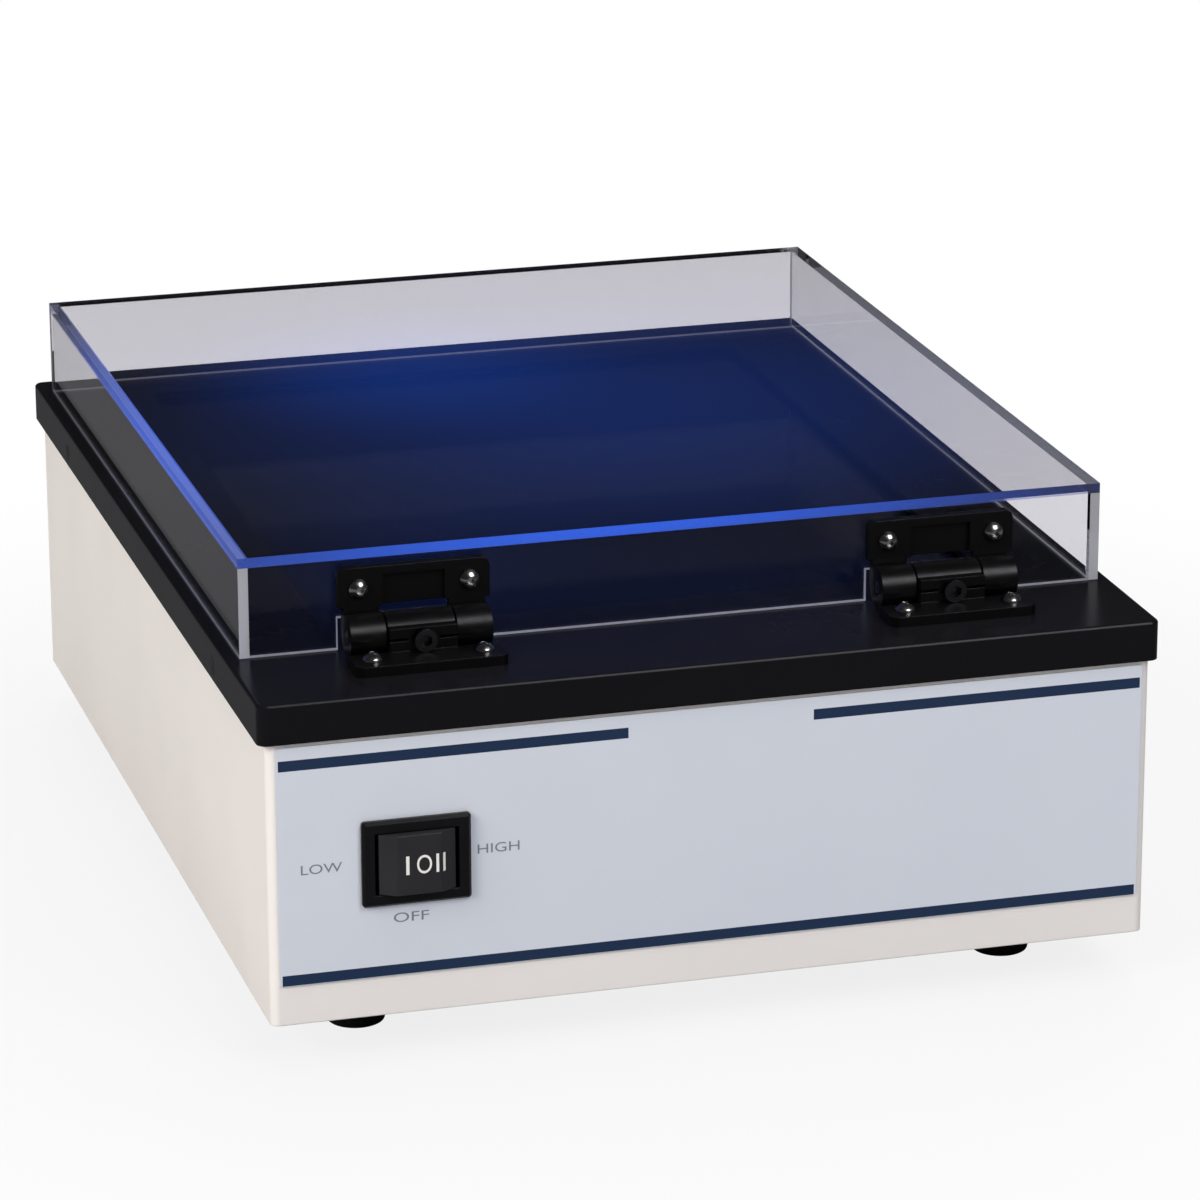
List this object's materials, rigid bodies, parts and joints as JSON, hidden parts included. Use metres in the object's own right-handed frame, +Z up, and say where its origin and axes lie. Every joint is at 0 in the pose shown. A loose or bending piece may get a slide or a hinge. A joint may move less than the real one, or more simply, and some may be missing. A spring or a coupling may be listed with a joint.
{
  "type": "uv transilluminator",
  "caption": "Bench ultraviolet transilluminator: sheet-steel box with lamp tubes under a filter window, hinged clear acrylic cover, rocker switch, mains inlet and cooling fan.",
  "frame": {"origin": "on the surface that the feet stand on, at the middle of the overall width and depth", "axes": "+X to the operator's right, +Y to the back, +Z up; the hinges and the switch are at the front, -Y"},
  "size_m": [0.27, 0.3496, 0.1424],
  "materials": {
    "plate_enamel": "semi-gloss black enamel",
    "housing_enamel": "warm white powder coat, fine texture",
    "zinc_sheet": "zinc-plated sheet steel",
    "foot_rubber": "moulded black rubber",
    "screw_steel": "zinc-plated steel",
    "overlay_film": "printed polyester film, matt",
    "filter_glass": "dark ultraviolet pass glass, polished",
    "gasket_foam": "closed-cell strip",
    "clip_steel": "spring steel",
    "clear_acrylic": "clear acrylic sheet, sawn and polished edges",
    "hinge_plastic": "moulded black glass-filled nylon",
    "lamp_glass": "coated lamp glass",
    "cap_aluminium": "drawn aluminium caps",
    "holder_plastic": "white moulded lampholders",
    "reflector_aluminium": "bright rolled sheet",
    "ballast_case": "white moulded case",
    "terminal_plastic": "black moulded block",
    "contact_brass": "plain brass",
    "switch_plastic": "black moulded frame",
    "rocker_plastic": "black moulded rocker, white marks",
    "inlet_plastic": "black moulded inlet",
    "fuse_glass": "glass fuse with metal ends",
    "fan_plastic": "black moulded fan"
  },
  "bodies": {
    "base": {"ballast_1": "ballast_case", "ballast_2": "ballast_case", "ballast_3": "ballast_case", "base_screws": "screw_steel", "base_tray": "zinc_sheet", "earth_stud": "contact_brass", "fan_frame": "fan_plastic", "fan_screws": "screw_steel", "filter_clips": "clip_steel", "filter_gasket": "gasket_foam", "filter_glass": "filter_glass", "foot_front_left": "foot_rubber", "foot_front_right": "foot_rubber", "foot_rear_left": "foot_rubber", "foot_rear_right": "foot_rubber", "foot_screws": "screw_steel", "front_overlay": "overlay_film", "hinge_adjuster_left": "screw_steel", "hinge_adjuster_right": "screw_steel", "hinge_base_left": "hinge_plastic", "hinge_base_right": "hinge_plastic", "hinge_base_screws": "screw_steel", "hinge_pin_left": "screw_steel", "hinge_pin_right": "screw_steel", "housing_shell": "housing_enamel", "inlet_blades": "contact_brass", "inlet_screws": "screw_steel", "lamp_bridge": "zinc_sheet", "lamp_reflector": "reflector_aluminium", "lampholders_front": "holder_plastic", "lampholders_rear": "holder_plastic", "lid_screws": "screw_steel", "mains_inlet": "inlet_plastic", "panel_nuts": "screw_steel", "switch_housing": "switch_plastic", "switch_terminals": "contact_brass", "terminal_block": "terminal_plastic", "top_plate": "plate_enamel", "tray_screws": "screw_steel", "tube_caps": "cap_aluminium", "uv_tube_1": "lamp_glass", "uv_tube_2": "lamp_glass", "uv_tube_3": "lamp_glass", "uv_tube_4": "lamp_glass", "uv_tube_5": "lamp_glass", "uv_tube_6": "lamp_glass"},
    "cover": {"cover_top": "clear_acrylic", "cover_left": "clear_acrylic", "cover_right": "clear_acrylic", "cover_front": "clear_acrylic", "cover_back": "clear_acrylic", "hinge_leaf_left": "hinge_plastic", "hinge_leaf_right": "hinge_plastic", "hinge_cover_screws": "screw_steel", "hinge_cover_nuts": "screw_steel"},
    "rocker": {"rocker": "rocker_plastic"},
    "fan_rotor": {"fan_rotor": "fan_plastic"},
    "fuse_drawer": {"fuse_drawer": "inlet_plastic", "fuse": "fuse_glass"}
  },
  "joints": [
    {"name": "cover_hinge", "type": "hinge", "parent": "base", "child": "cover", "pos_m": [0, -0.1363, 0.1185], "axis": [1, 0, 0], "range_deg": [0, 90]},
    {"name": "rocker_tilt", "type": "hinge", "parent": "base", "child": "rocker", "pos_m": [-0.0898, -0.1666, 0.0615], "axis": [0, 0, 1], "range_deg": [-10, 10]},
    {"name": "fan_spin", "type": "hinge", "parent": "base", "child": "fan_rotor", "pos_m": [0.062, 0.1637, 0.045], "axis": [0, 1, 0], "continuous": true},
    {"name": "fuse_drawer_slide", "type": "slide", "parent": "base", "child": "fuse_drawer", "axis": [0, 1, 0], "range_m": [0, 0.018]}
  ]
}
